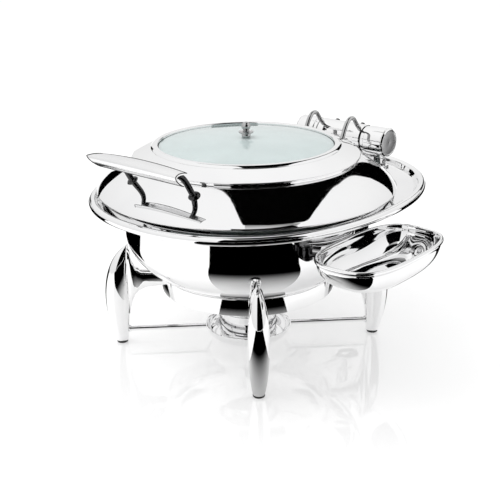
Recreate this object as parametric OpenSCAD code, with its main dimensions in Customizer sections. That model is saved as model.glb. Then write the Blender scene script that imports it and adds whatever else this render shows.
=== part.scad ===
// Round roll top chafer: stand with fuel holder, water bowl, food pan, hinged glass lid, swinging spoon tray.
// Millimetres, +Z up. The lid's handle faces -Y, its hinge is at +Y and the spoon tray hangs at +X.

/* [Bowl and brim] */
// Largest outside radius of the water bowl
bowl_r = 187; // [183:0.5:187]
// Height of the bowl's widest line above the floor
bowl_z = 190; // [188:1:192]
// Depth of the bowl's round part
bowl_depth = 98; // [94:1:100]
// Half width of the brim's rolled edge, to its centre line
brim_half_x = 225.8; // [225:0.2:230]
// Half length of the brim's rolled edge, to its centre line
brim_half_y = 265.8; // [262:0.2:268]
// How far the brim's middle lies behind the bowl's axis
brim_back = 34; // [30:1:36]
// Height of the rolled edge's centre line
brim_z = 246; // [245:0.5:246]
// Radius of the rolled edge
bead_r = 8; // [6:0.5:8]

/* [Lid] */
// Largest radius of the dome
lid_r = 227; // [222:1:228]
// Height of the dome's lower edge
lid_z = 255.3; // [255:0.1:257]
// Radius of the crown's outer edge
crown_r = 172; // [170:1:173]
// Height of the crown's outer edge
crown_z = 305.6; // [304:0.2:307]
// Radius of the glass
glass_r = 131.5; // [128:0.5:132]
// Height of the glass edge
glass_z = 318; // [317:0.5:319]
// Rise of the glass at its middle
glass_rise = 10; // [8:1:12]
// Half length of the grip, at the corners of its rear edge
grip_half = 84; // [80:1:88]

/* [Hinge] */
// Distance of the hinge axis behind the bowl's axis
hinge_y = 256; // [254:0.5:257]
// Height of the hinge axis
hinge_z = 284; // [283:0.5:286]
// Outside radius of the hinge tube
tube_r = 23.8; // [22:0.2:24]
// Half length of the hinge tube with its caps
tube_half = 90; // [86:1:94]
// Half length of the turning barrel
barrel_half = 44; // [42:1:46]
// Radius of the axle
axle_r = 8; // [6:0.5:9]
// Distance of each lifting arm from the middle
arm_x = 38; // [34:1:39]
// Radius of the arm's rod
arm_rod_r = 3.6; // [3:0.1:4]

/* [Stand] */
// Outside radius of the ring
ring_r = 134.7; // [133:0.1:136]
// Height of the ring's lower edge
ring_z = 94; // [92:1:96]
// Largest width of a leg
leg_w = 33; // [28:1:36]
// Height of the leg's top point
leg_top = 165; // [160:1:168]
// Radius of the rods under the bowl
rod_r = 4; // [3:0.5:5]
// Height of the rods
rod_z = 22; // [20:1:24]
// Inside radius of the fuel cup
fuel_r = 43.5; // [40:0.5:45]
// Depth of the fuel cup's bore
fuel_depth = 44; // [36:1:46]

/* [Spoon tray] */
// Half width of the tray
tray_half_x = 61; // [56:1:61]
// Half length of the tray
tray_half_y = 110; // [104:1:112]
// Distance of the tray's middle from the bowl's axis
tray_x = 251.5; // [251:0.5:256]
// How far the tray's middle lies in front of the bowl's axis
tray_front = 10; // [6:1:11]
// Height of the tray's rim
tray_z = 211; // [210:0.5:212]
// Depth of the tray
tray_depth = 45; // [38:1:47]

/* [Hidden] */
$fn = 96;
wall = 1.5;
ring_h = 26;
brim_outer = brim_half_x + bead_r;
tray_outer = tray_x + tray_half_x;
mid_x = (tray_outer - brim_outer) / 2;
mid_y = brim_back;
ledge_z = brim_z - 3;
pan_r = bowl_r - 10;
cup_r = fuel_r + 1.5;
leg_foot_r = 202;
leg_angles = [-135, -45, 45, 135];
pivot = [182, -85];
pivot_r = norm(pivot);
pivot_a = atan2(pivot[1], pivot[0]);
tube_inner = 46;

// ---- shape helpers ----

function arc(c, r, a0, a1, n) = [for (i = [0:n]) let (a = a0 + (a1 - a0) * i / n)
    [c[0] + r * cos(a), c[1] + r * sin(a)]];
function curve(a, b, c, d, n) = [for (i = [0:n]) let (t = i / n, u = 1 - t)
    u * u * u * a + 3 * u * u * t * b + 3 * u * t * t * c + t * t * t * d];
function power(v, e) = sign(v) * pow(abs(v), e);
function oval(a, b, n, t) = [a * power(cos(t), 2 / n), b * power(sin(t), 2 / n)];
function oval_out(a, b, n, t) = let (
    q = oval(a, b, n, t),
    v = [power(q[0] / a, n - 1) / a, power(q[1] / b, n - 1) / b]) v / norm(v);

// Moves a sub-part from the bowl's axis to the frame whose origin is under the middle of the whole part
module place() {
    translate([-mid_x, -mid_y, 0]) children();
}

module rod(p, q, r) {
    v = q - p;
    translate(p) rotate([0, acos(v[2] / norm(v)), atan2(v[1], v[0])]) cylinder(h = norm(v), r = r);
}

// Joins equal rings of points into one solid; a loop closes on itself, an open one is capped
module skin(rings, loop) {
    n = len(rings[0]);
    m = len(rings);
    last = loop ? m - 1 : m - 2;
    sides = [for (j = [0:last], i = [0:n - 1], k = [0, 1])
        let (a = j * n + i, b = j * n + (i + 1) % n, c = ((j + 1) % m) * n + (i + 1) % n,
            d = ((j + 1) % m) * n + i) k == 0 ? [a, b, c] : [a, c, d]];
    end = (m - 1) * n;
    caps = loop ? [] : [for (i = [0:n / 2 - 2]) each [[n - 1 - i, n - 2 - i, i + 1], [n - 1 - i, i + 1, i],
        [end + i, end + i + 1, end + n - 2 - i], [end + i, end + n - 2 - i, end + n - 1 - i]]];
    polyhedron(points = [for (r = rings) each r], faces = concat(sides, caps));
}

// A rod bent in the plane x = 0 through three points, with one round corner, made as a run of rings
module bent_rod(a, b, c, r, bend) {
    u = (a - b) / norm(a - b);
    v = (c - b) / norm(c - b);
    half = acos(u * v) / 2;
    centre = b + (u + v) / norm(u + v) * bend / sin(half);
    p = b + u * bend / tan(half) - centre;
    q = b + v * bend / tan(half) - centre;
    path = concat([a], arc(centre, bend, atan2(p[1], p[0]), atan2(q[1], q[0]), 12), [c]);
    last = len(path) - 1;
    skin([for (i = [0:last]) let (
        t = path[min(i + 1, last)] - path[max(i - 1, 0)],
        n = [-t[1], t[0]] / norm(t))
        [for (k = [0:15]) let (s = 22.5 * k)
            [r * cos(s), path[i][0] + r * sin(s) * n[0], path[i][1] + r * sin(s) * n[1]]]], false);
}

// ---- stand ----

module stand_ring() {
    color("silver") place() rotate_extrude()
        polygon([[ring_r - 3, ring_z], [ring_r, ring_z], [ring_r, ring_z + ring_h - 1],
            [ring_r - 1, ring_z + ring_h], [ring_r - 3, ring_z + ring_h]]);
}

// Side outline of a leg and its arm, from the bowl's axis outwards
module leg_side() {
    outer = curve([187, leg_top], [236, 132], [229, 55], [211.5, 4], 16);
    inner = curve([192, 4], [189, 34], [187, 60], [186.4, 66], 5);
    armpit = arc([154, 66], 29, 10, 84, 8);
    throat = curve([170, 121], [180, 124], [180, 146], [185, leg_top], 8);
    polygon(concat(outer, inner, armpit, [[ring_r - 1, 96], [ring_r - 1, 119.5]], throat));
}

// Front outline of a leg: a long leaf, cut off at the foot
module leg_front() {
    side = curve([8, 4], [13, 30], [leg_w / 2 + 8, 95], [0.8, leg_top], 16);
    polygon(concat(side, [for (i = [len(side) - 1:-1:0]) [-side[i][0], side[i][1]]]));
}

module leg(a) {
    color("silver") place() rotate([0, 0, a]) difference() {
        intersection() {
            rotate([90, 0, 0]) translate([0, 0, -leg_w / 2]) linear_extrude(leg_w) leg_side();
            union() {
                rotate([90, 0, 90]) translate([0, 0, 160]) linear_extrude(80) leg_front();
                translate([120, -10, 90]) cube([66, 20, 45]);
            }
        }
        translate([0, 0, 80]) cylinder(h = 50, r = ring_r);
    }
}

module foot(a) {
    color("#202020") place() rotate([0, 0, a]) translate([leg_foot_r, 0, 0]) cylinder(h = 4, r = 9);
}

module burner_rod(a) {
    color("silver") place() rotate([0, 0, a]) difference() {
        rod([66, 0, rod_z], [191.2, 0, rod_z], rod_r);
        translate([0, 0, 10]) cylinder(h = 24, r = 68.5);
    }
}

module burner_dish() {
    color("silver") place() difference() {
        rotate_extrude() polygon(concat([[0, 6]], arc([48, 26], 20, -90, -12, 10), [[68.5, 24], [68.5, 25.5],
            [66, 25.5]], arc([48, 26], 18.5, -4, -90, 10), [[0, 7.5]]));
        translate([0, 0, 7.5]) cylinder(h = 6, r = cup_r - 12);
    }
}

module fuel_cup() {
    color("silver") place() translate([0, 0, 7.6]) difference() {
        cylinder(h = fuel_depth + 2, r = cup_r);
        translate([0, 0, 2]) cylinder(h = fuel_depth + 1, r = fuel_r);
    }
}

// ---- bowl and brim ----

function bowl_line(r, d) = [for (i = [0:14]) let (a = 20 + 70 * i / 14) [r * sin(a), bowl_z - d * cos(a)]];

module bowl_shell() {
    outside = bowl_line(bowl_r, bowl_depth);
    inside = bowl_line(bowl_r - wall, bowl_depth - wall);
    color("silver") place() rotate_extrude() polygon(concat(
        [[0, outside[0][1]]], outside, [[bowl_r, ledge_z - 1.6], [bowl_r - wall, ledge_z - 1.6]],
        [for (i = [14:-1:0]) inside[i]], [[0, inside[0][1]]]));
}

// Rings of the brim: [inner radius, share of the way out to the rolled edge, step outwards, height]
function brim_rings() = let (r = bowl_r + 1, l = ledge_z) concat(
    [[pan_r + 2, 0, 0, l], [r, 0, 0, l], [r, 0, 3, l - 0.8], [r, 0, 7, l - 2.8], [r, 0, 12, l - 4.5],
        [r, 1, -14, l - 4.5], [r, 1, -11.5, l - 3.2], [r, 1, -9.6, l - 0.6]],
    [for (a = [160:-25:-165]) [r, 1, bead_r * cos(a), brim_z + bead_r * sin(a)]],
    [[r, 1, -9.9, l - 2], [r, 1, -12, l - 4.6], [r, 1, -14.5, l - 6], [r, 0, 12, l - 6], [r, 0, 7, l - 4.4],
        [r, 0, 3, l - 2.4], [r, 0, 0, l - 1.6], [pan_r + 2, 0, 0, l - 1.6]]);

module brim() {
    color("silver") place() skin([for (g = brim_rings()) [for (i = [0:71]) let (
        t = 5 * i,
        out = g[1] == 0 ? [cos(t), sin(t)] : oval_out(brim_half_x, brim_half_y, 2.2, t),
        a = g[0] * [cos(t), sin(t)],
        b = oval(brim_half_x, brim_half_y, 2.2, t) + [0, brim_back],
        q = a + (b - a) * g[1] + out * g[2])
        [q[0], q[1], g[3]]]], true);
}

module food_pan() {
    color("lightgray") place() rotate_extrude() polygon(concat(
        [[0, 180]], arc([pan_r - 16, 194], 14, -90, 0, 8), [[pan_r - 2, ledge_z + 0.1],
        [pan_r + 9, ledge_z + 0.1], [pan_r + 9, ledge_z + 2.5], [pan_r - 3.5, ledge_z + 2.5]],
        arc([pan_r - 16, 194], 12.5, 0, -90, 8), [[0, 181.5]]));
}

// A rear strut: a post down from the brim to a round foot, held by an arm from the ring
module brace(s) {
    foot_z = 92;
    p = [s * 46, 206];
    color("silver") place() difference() {
        union() {
            translate([p[0], p[1], foot_z]) cylinder(h = 5, r = 25);
            translate([p[0], p[1], foot_z]) cylinder(h = 26, r = 11);
            translate([p[0], p[1], foot_z + 26]) cylinder(h = ledge_z - 6 - foot_z - 26, r = 13.5);
            rod([s * 26, 128, foot_z + 12], [p[0], p[1], foot_z + 12], 6);
        }
        cylinder(h = 200, r = ring_r);
    }
}

// ---- hinge, fixed parts ----

module tube_axis() {
    translate([0, hinge_y, hinge_z]) rotate([0, 90, 0]) children();
}

module hinge_bracket(s) {
    x = s * (tube_half - 18);
    color("silver") place() difference() {
        union() {
            translate([x - 9, hinge_y - 15, ledge_z - 4.4]) cube([18, 30, 4]);
            translate([x - 7, hinge_y - 9, ledge_z - 4.4]) cube([14, 18, 30]);
            translate([x - 10, hinge_y - 15, hinge_z - 24]) cube([20, 30, 14]);
        }
        tube_axis() translate([0, 0, -120]) cylinder(h = 240, r = tube_r);
    }
}

module bracket_bolts() {
    color("dimgray") place() for (s = [-1, 1], t = [-1, 1])
        translate([s * (tube_half - 18), hinge_y + t * 12, ledge_z - 0.4]) cylinder(h = 2.2, r = 2.4);
}

// A fixed end of the tube, with a collar next to the turning barrel
module hinge_tube(s) {
    collar = 6;
    mouth = tube_half - 4;
    color("silver") place() tube_axis() mirror([0, 0, s < 0 ? 1 : 0]) rotate_extrude()
        polygon([[axle_r + 0.1, tube_inner], [tube_r - 1.4, tube_inner],
            [tube_r - 1.4, tube_inner + collar], [tube_r, tube_inner + collar + 1],
            [tube_r, mouth], [tube_r - 2, mouth], [tube_r - 2, tube_inner + 14],
            [axle_r + 0.1, tube_inner + 14]]);
}

module hinge_cap(s) {
    color("gray") place() tube_axis() mirror([0, 0, s < 0 ? 1 : 0]) rotate_extrude()
        polygon([[0, tube_half - 6], [tube_r - 2, tube_half - 6], [tube_r - 2, tube_half - 4],
            [tube_r, tube_half - 4], [tube_r - 2.2, tube_half], [tube_r - 3.6, tube_half],
            [tube_r - 4.2, tube_half - 1], [0, tube_half - 1]]);
}

module hinge_axle() {
    color("gray") place() tube_axis() translate([0, 0, 10 - tube_half])
        cylinder(h = 2 * tube_half - 20, r = axle_r);
}

// ---- hinge, parts that turn with the lid ----

module hinge_barrel() {
    color("silver") place() difference() {
        tube_axis() translate([0, 0, -barrel_half]) cylinder(h = 2 * barrel_half, r = tube_r);
        tube_axis() translate([0, 0, -barrel_half - 1]) cylinder(h = 2 * barrel_half + 2, r = axle_r + 2.5);
        translate([-31, hinge_y - 34, hinge_z - 13]) cube([62, 16, 22]);
    }
}

module hinge_bush(s) {
    color("goldenrod") place() tube_axis() translate([0, 0, s > 0 ? barrel_half - 16 : -barrel_half])
        difference() {
            cylinder(h = 16, r = axle_r + 2.5);
            translate([0, 0, -1]) cylinder(h = 18, r = axle_r + 0.05);
        }
}

module hinge_arm(s) {
    top = [217, 333];
    low = [250, 292];
    middle = [hinge_y, hinge_z];
    along = (top - low) / norm(top - low);
    gap = (low - middle) * along;
    side = norm(low - middle - gap * along);
    color("silver") place() translate([s * arm_x, 0, 0])
        bent_rod([192, 288], top, low + (sqrt(pow(tube_r - 0.4, 2) - side * side) - gap) * along,
            arm_rod_r, 13);
}

module arm_foot(s) {
    color("silver") place() difference() {
        rod([s * arm_x, 189, 280], [s * arm_x, 193, 288.5], 8);
        rod([s * arm_x, 186, 274], [s * arm_x, 195.5, 293], arm_rod_r);
        lid_fill();
    }
}

module hinge_screw(s) {
    color("dimgray") place() translate([s * 26, hinge_y, hinge_z]) rotate([-38.7, 0, 0]) {
        translate([0, 0, tube_r - 0.6]) cylinder(h = 4.4, r = 4.2);
    }
}

// ---- lid ----

function dome_out() = curve(
    [lid_r, lid_z + 3], [lid_r - 8, lid_z + 13.6], [204, 280], [crown_r - 3, crown_z - 5], 14);
function dome_in() = [for (p = dome_out()) p - [1.4, 1.4]];

// The whole space inside the dome, used to cut what stands on it
module lid_fill() {
    rotate_extrude() polygon(concat([[0, lid_z + 3]], dome_out(), [[0, crown_z - 5]]));
}

module lid_dome() {
    inside = dome_in();
    color("silver") place() rotate_extrude() polygon(concat(
        arc([lid_r - 2, lid_z + 2], 2, -90, 0, 4), dome_out(),
        [[crown_r - 3, crown_z - 3], [crown_r - 4.6, crown_z - 3]],
        [for (i = [14:-1:1]) inside[i]], [[lid_r - 4, lid_z + 3], [lid_r - 4, lid_z]]));
}

module lid_crown() {
    color("silver") place() rotate_extrude() polygon(concat(
        [[crown_r - 4.6, crown_z - 3], [crown_r - 0.8, crown_z - 3], [crown_r, crown_z - 1.6]],
        curve([crown_r - 0.4, crown_z], [crown_r - 8, crown_z + 6], [156, crown_z + 10.4],
            [144, glass_z + 0.2], 8),
        [[glass_r + 1, glass_z - 1], [glass_r + 1, glass_z - 3.4], [144, glass_z - 3.4]],
        curve([146, glass_z - 4], [156, crown_z + 6], [164, crown_z + 3], [crown_r - 4.6, crown_z - 1], 6)));
}

module glass_ring() {
    color("silver") place() rotate_extrude() polygon(concat(
        [[glass_r + 1, glass_z - 1], [143.6, glass_z + 0.3]],
        arc([142, glass_z + 1.4], 1.6, -30, 90, 5), arc([glass_r + 3.4, glass_z + 2], 2, 80, 180, 5)));
}

module glass_gasket() {
    color("#202020") place() rotate_extrude()
        polygon([[glass_r - 6, glass_z - 5.2], [glass_r + 1, glass_z - 5.2], [glass_r + 1, glass_z - 0.2],
            [glass_r + 0.02, glass_z - 0.2], [glass_r + 0.02, glass_z - 4.1], [glass_r - 6, glass_z - 3.7]]);
}

module lid_glass() {
    big = (glass_r * glass_r + glass_rise * glass_rise) / (2 * glass_rise);
    edge = asin(glass_r / big);
    top = glass_z + glass_rise;
    color([0.75, 0.87, 0.84, 0.4]) place() difference() {
        rotate_extrude() polygon(concat(
            arc([0, top - big], big, 90 - edge, 90 - edge / 12, 11), [[0, top], [0, top - 4]],
            arc([0, top - big], big - 4, 90 - edge / 12, 90 - edge, 11)));
        translate([0, 0, top - 10]) cylinder(h = 20, r = 3.2);
    }
}

module knob() {
    z = glass_z + glass_rise;
    color("silver") place() rotate_extrude() polygon(concat([[0, z - 3.9], [3.1, z - 3.9], [3.1, z]],
        arc([0, z + 3.4], 6.8, -29, 28, 6), [[7.2, z + 7.2], [11.2, z + 8.4], [11.2, z + 9.8], [5, z + 11.4]],
        arc([0, z + 17.2], 6.8, -44, 90, 10)));
}

module knob_nut() {
    z = glass_z + glass_rise - 4;
    color("silver") place() translate([0, 0, z - 3.4]) {
        translate([0, 0, 2]) cylinder(h = 1.3, r = 8);
        cylinder(h = 2, r = 5.6, $fn = 6);
    }
}

// ---- handle ----

// Cross-section of the grip's curved sheet, from its rear edge over the nose to its lower edge, as [y, z]
function grip_edge(s) = let (m = 1 - s * s)
    curve([-215 + 2 * m, 334 + 3 * m], [-228, 337 + 2 * m], [-243, 331], [-221.7, 317], 12);

// One closed ring of the grip, at the share s of its half length; the nose reaches further out than the edges
function grip_ring(s) = let (e = grip_edge(s), thick = 2.6) [for (k = [0:25]) let (
    i = min(k, 25 - k),
    v = e[min(i + 1, 12)] - e[max(i - 1, 0)],
    p = k == i ? e[i] : e[i] + thick * [-v[1], v[0]] / norm(v),
    t = i / 12,
    half = grip_half * (1 - t) * (1 - t) + (grip_half + 15) * 2 * t * (1 - t) + (grip_half - 3.4) * t * t)
    [s * half, p[0], p[1]]];

module handle_grip() {
    color("silver") place() skin([for (j = [24:-1:-24]) grip_ring(sin(3.75 * j))], false);
}

module handle_post(s) {
    color("silver") place() difference() {
        translate([s * 60, 0, 0]) bent_rod([-175, 285.4], [-206.5, 328], [-229, 327.4], 4.4, 11);
        lid_fill();
    }
}

module handle_flange(s) {
    color("silver") place() difference() {
        rod([s * 60, -174, 284], [s * 60, -180.5, 292.8], 9.5);
        rod([s * 60, -172, 281.3], [s * 60, -184, 297.6], 4.4);
        lid_fill();
    }
}

// ---- spoon tray ----

// The fixed fork on the bowl that carries the tray's pin
module tray_bracket() {
    color("silver") place() rotate([0, 0, pivot_a]) difference() {
        union() {
            for (z = [tray_z - 10.4, tray_z + 4.4]) translate([bowl_r - 1, 0, z]) {
                translate([0, -8, 0]) cube([pivot_r - bowl_r + 1, 16, 4]);
                translate([pivot_r - bowl_r + 1, 0, 0]) cylinder(h = 4, r = 8);
            }
            translate([bowl_r - 1, -8, tray_z - 10.4]) cube([4.4, 16, 18.8]);
        }
        translate([pivot_r, 0, tray_z - 20]) cylinder(h = 40, r = 2.5);
        translate([0, 0, tray_z - 30]) cylinder(h = 60, r = bowl_r);
    }
}

module tray_pin() {
    color("dimgray") place() translate([pivot[0], pivot[1], tray_z - 12.4]) {
        cylinder(h = 22.8, r = 2.5);
        cylinder(h = 2, r = 4.5);
        translate([0, 0, 20.8]) cylinder(h = 2, r = 4.5);
    }
}

module tray_knuckle() {
    color("silver") place() difference() {
        union() {
            translate([pivot[0], pivot[1], tray_z - 6]) cylinder(h = 10, r = 7.4);
            translate([pivot[0], pivot[1], tray_z - 5]) rotate([0, 0, 17])
                translate([0, -5, 0]) cube([17.5, 10, 5]);
        }
        translate([pivot[0], pivot[1], tray_z - 20]) cylinder(h = 40, r = 2.55);
    }
}

// Rings of the tray: [share of the full outline, step beyond it, height]
function tray_rings() = let (a = tray_half_x - 3, steps = [90, 74, 58, 44, 31, 19, 9]) concat(
    [for (t = steps) [pow(cos(t * 0.94), 0.72), 0, -tray_depth * pow(sin(t), 0.9)]],
    [for (t = [-120:30:150]) [1, 3 * cos(t), 3 * sin(t)]],
    [for (i = [6:-1:0]) let (t = steps[i]) [pow(cos(t * 0.94), 0.72) - 1.6 / a, 0,
        -(tray_depth - 1.5) * pow(sin(t), 0.9)]]);

module spoon_tray() {
    a = tray_half_x - 3;
    b = tray_half_y - 3;
    color("silver") place() translate([tray_x, -tray_front, tray_z]) skin([for (g = tray_rings())
        [for (i = [0:63]) let (t = -5.625 * i, q = oval(a, b, 3, t) * g[0] + oval_out(a, b, 3, t) * g[1])
            [q[0], q[1], g[2]]]], false);
}

stand_ring();
leg(leg_angles[0]);  // leg_1
leg(leg_angles[1]);  // leg_2
leg(leg_angles[2]);  // leg_3
leg(leg_angles[3]);  // leg_4
foot(leg_angles[0]);  // foot_1
foot(leg_angles[1]);  // foot_2
foot(leg_angles[2]);  // foot_3
foot(leg_angles[3]);  // foot_4
burner_rod(leg_angles[0]);  // burner_rod_1
burner_rod(leg_angles[1]);  // burner_rod_2
burner_rod(leg_angles[2]);  // burner_rod_3
burner_rod(leg_angles[3]);  // burner_rod_4
burner_dish();
fuel_cup();
bowl_shell();
brim();
food_pan();
brace(-1);  // brace_left
brace(1);  // brace_right
hinge_bracket(-1);  // hinge_bracket_left
hinge_bracket(1);  // hinge_bracket_right
bracket_bolts();
hinge_tube(-1);  // hinge_tube_left
hinge_tube(1);  // hinge_tube_right
hinge_cap(-1);  // hinge_cap_left
hinge_cap(1);  // hinge_cap_right
hinge_axle();
hinge_barrel();
hinge_bush(-1);  // hinge_bush_left
hinge_bush(1);  // hinge_bush_right
hinge_arm(-1);  // hinge_arm_left
hinge_arm(1);  // hinge_arm_right
arm_foot(-1);  // arm_foot_left
arm_foot(1);  // arm_foot_right
hinge_screw(-1);  // hinge_screw_left
hinge_screw(1);  // hinge_screw_right
lid_dome();
lid_crown();
glass_ring();
glass_gasket();
lid_glass();
knob();
knob_nut();
handle_grip();
handle_post(-1);  // handle_post_left
handle_post(1);  // handle_post_right
handle_flange(-1);  // handle_flange_left
handle_flange(1);  // handle_flange_right
tray_bracket();
tray_pin();
tray_knuckle();
spoon_tray();
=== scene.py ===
"""Round roll top chafer: the visual model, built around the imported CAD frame.

Shapes are written in millimetres from the bowl's axis and the floor; at() moves them into the row frame.
"""
import math

import bmesh
import bpy
from mathutils import Matrix, Vector


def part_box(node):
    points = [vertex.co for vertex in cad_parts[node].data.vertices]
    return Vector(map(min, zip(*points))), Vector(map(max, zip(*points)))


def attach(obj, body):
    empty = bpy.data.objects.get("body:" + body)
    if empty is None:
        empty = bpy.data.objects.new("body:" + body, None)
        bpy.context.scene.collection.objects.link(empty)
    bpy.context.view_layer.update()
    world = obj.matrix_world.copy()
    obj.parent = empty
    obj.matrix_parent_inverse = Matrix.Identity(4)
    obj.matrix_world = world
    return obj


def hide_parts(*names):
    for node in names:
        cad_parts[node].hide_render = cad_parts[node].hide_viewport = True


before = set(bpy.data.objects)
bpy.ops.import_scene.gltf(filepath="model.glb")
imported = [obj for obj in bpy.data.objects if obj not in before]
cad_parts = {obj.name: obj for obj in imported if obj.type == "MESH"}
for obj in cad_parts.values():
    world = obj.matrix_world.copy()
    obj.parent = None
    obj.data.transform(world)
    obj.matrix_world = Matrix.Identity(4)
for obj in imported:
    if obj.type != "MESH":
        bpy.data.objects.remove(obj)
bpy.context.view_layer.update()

MM = 0.001
BOWL_LOW, BOWL_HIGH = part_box("bowl_shell")
AXIS_X = (BOWL_LOW[0] + BOWL_HIGH[0]) / 2
AXIS_Y = (BOWL_LOW[1] + BOWL_HIGH[1]) / 2

# Driving sizes in millimetres, as in the CAD source
BOWL_R, BOWL_Z, BOWL_DEPTH = 187, 190, 98
BRIM_X, BRIM_Y, BRIM_BACK, BRIM_Z, BEAD = 225.8, 265.8, 34, 246, 8
LEDGE = BRIM_Z - 3
LID_R, LID_Z = 227, 255.3
CROWN_R, CROWN_Z = 172, 305.6
GLASS_R, GLASS_Z, GLASS_RISE = 131.5, 318, 10
HINGE_Y, HINGE_Z, TUBE_R, TUBE_HALF, BARREL_HALF, AXLE_R = 256, 284, 23.8, 90, 44, 8
ARM_X, ARM_R = 38, 3.6
RING_R, RING_Z, RING_H = 134.7, 94, 26
LEG_W, LEG_TOP, LEG_LOW = 33, 165, 4
LEG_ANGLES = (-135, -45, 45, 135)
FOOT_AT = 202
ROD_R, ROD_Z = 4, 22
FUEL_R, FUEL_DEPTH = 43.5, 44
TRAY_A, TRAY_B, TRAY_X, TRAY_FRONT, TRAY_Z, TRAY_DEPTH = 61, 110, 251.5, 10, 211, 45
GRIP_HALF, POST_X, POST_R = 84, 60, 4.4
HINGE, ACROSS = (0, HINGE_Y, HINGE_Z), (1, 0, 0)
RECESS_HALF, RECESS_AT, RECESS_SPAN, RECESS_DEEP = 31, 178, 34, 6.2
PIVOT = (182, -85)
PAN_R = BOWL_R - 10
WALL, THIN_WALL = 1.5, 1.4
BRACKET_X = TUBE_HALF - 18
BRACE_X, BRACE_Y, BRACE_Z = 46, 206, 92
BORE_GAP = 0.05

# The studio: how far off the overhead cards stand, how high the floor cards lie, and the camera's direction
STUDIO_R, FLOOR_CARD_Z = 10000, 0.6
CAMERA_AZ = math.radians(41.07)


# ---- numbers and curves ----

def at(x, y, z):
    """A point in millimetres from the bowl's axis, as metres in the row frame."""
    return Vector((AXIS_X + x * MM, AXIS_Y + y * MM, z * MM))


def arc(cx, cy, r, start, end, n=8):
    """Points on a circle, from one angle in degrees to another."""
    steps = [math.radians(start + (end - start) * i / n) for i in range(n + 1)]
    return [(cx + r * math.cos(a), cy + r * math.sin(a)) for a in steps]


def curve(a, b, c, d, n=12):
    """Points on a cubic Bezier curve."""
    points = []
    for i in range(n + 1):
        t = i / n
        u = 1 - t
        w = (u ** 3, 3 * u * u * t, 3 * u * t * t, t ** 3)
        points.append(tuple(sum(k * p[j] for k, p in zip(w, (a, b, c, d))) for j in range(len(a))))
    return points


def blend(stops, x):
    """Smooth interpolation of (x, value) stops."""
    if x <= stops[0][0]:
        return stops[0][1]
    for (x0, v0), (x1, v1) in zip(stops, stops[1:]):
        if x <= x1:
            t = (x - x0) / (x1 - x0)
            t = t * t * (3 - 2 * t)
            return v0 + (v1 - v0) * t
    return stops[-1][1]


def linear(stops, x):
    """Straight interpolation of (x, value) stops."""
    if x <= stops[0][0]:
        return stops[0][1]
    for (x0, v0), (x1, v1) in zip(stops, stops[1:]):
        if x <= x1:
            return v0 + (v1 - v0) * (x - x0) / (x1 - x0)
    return stops[-1][1]


def power(v, e):
    """A power that keeps the sign."""
    return math.copysign(abs(v) ** e, v)


def oval(a, b, n, t):
    """Point and outward direction of a superellipse at angle t."""
    x, y = a * power(math.cos(t), 2 / n), b * power(math.sin(t), 2 / n)
    v = Vector((power(x / a, n - 1) / a, power(y / b, n - 1) / b)).normalized()
    return x, y, v.x, v.y


def soften(loop, r, n=3):
    """Rounds every corner of a closed outline by about r."""
    out = []
    for i, p in enumerate(loop):
        p = Vector(p)
        a, b = Vector(loop[i - 1]) - p, Vector(loop[(i + 1) % len(loop)]) - p
        if a.length < 1e-6 or b.length < 1e-6 or a.angle(b) > math.radians(155):
            out.append(tuple(p))
            continue
        a, b = (p + v.normalized() * min(r, v.length * 0.45) for v in (a, b))
        for k in range(n + 1):
            t = k / n
            out.append(tuple(a * (1 - t) ** 2 + p * 2 * t * (1 - t) + b * t * t))
    return out


# ---- meshes: each is (points, faces) ----

def join(*shapes):
    """Several shapes as one."""
    points, faces = [], []
    for p, f in shapes:
        faces += [[i + len(points) for i in face] for face in f]
        points += p
    return points, faces


def skin(rings, loop=False):
    """A surface through rings of equal length, capped at both ends unless it loops."""
    n, m = len(rings[0]), len(rings)
    faces = []
    for j in range(m if loop else m - 1):
        for i in range(n):
            k, q = (i + 1) % n, (j + 1) % m
            faces.append([j * n + i, j * n + k, q * n + k, q * n + i])
    if not loop:
        for i in range((n - 1) // 2):
            cap = list(dict.fromkeys([i, i + 1, n - 2 - i, n - 1 - i]))
            faces += [cap[::-1], [(m - 1) * n + k for k in cap]]
    return [tuple(p) for r in rings for p in r], faces


def turned(outline, origin=(0, 0, 0), axis=(0, 0, 1), n=160):
    """A closed outline of (radius, height) turned about an axis."""
    axis = Vector(axis).normalized()
    side = axis.orthogonal().normalized() if abs(axis.z) < 0.999 else Vector((1, 0, 0))
    other = axis.cross(side)
    rings = []
    for i in range(n):
        a = math.tau * i / n
        out = side * math.cos(a) + other * math.sin(a)
        rings.append([Vector(origin) + out * r + axis * z for r, z in outline])
    return skin(rings, loop=True)


def tube(path, r, n=20):
    """A round rod along points, with eased ends."""
    path = [Vector(p) for p in path]
    last = len(path) - 1
    rings = []
    normal = None
    for i, p in enumerate(path):
        t = (path[min(i + 1, last)] - path[max(i - 1, 0)]).normalized()
        normal = (t.orthogonal() if normal is None else normal - t * normal.dot(t)).normalized()
        other = t.cross(normal)
        around = [normal * math.cos(a) + other * math.sin(a) for a in (math.tau * j / n for j in range(n))]
        if i == 0:
            steps = [(p, 0.86), (p + t * (r * 0.12), 1)]
        elif i == last:
            steps = [(p - t * (r * 0.12), 1), (p, 0.86)]
        else:
            steps = [(p, 1)]
        rings += [[q + out * r * share for out in around] for q, share in steps]
    return skin(rings)


def block(low, high, bevel=0.8):
    """A box with rounded edges."""
    bm = bmesh.new()
    bmesh.ops.create_cube(bm, size=1)
    low, high = Vector(low), Vector(high)
    for v in bm.verts:
        v.co = Vector((low[i] + (v.co[i] + 0.5) * (high[i] - low[i]) for i in range(3)))
    bmesh.ops.bevel(bm, geom=bm.edges[:], offset=bevel, segments=3, profile=0.5, affect="EDGES")
    bm.verts.index_update()
    shape = [tuple(v.co) for v in bm.verts], [[v.index for v in f.verts] for f in bm.faces]
    bm.free()
    return shape


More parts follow.
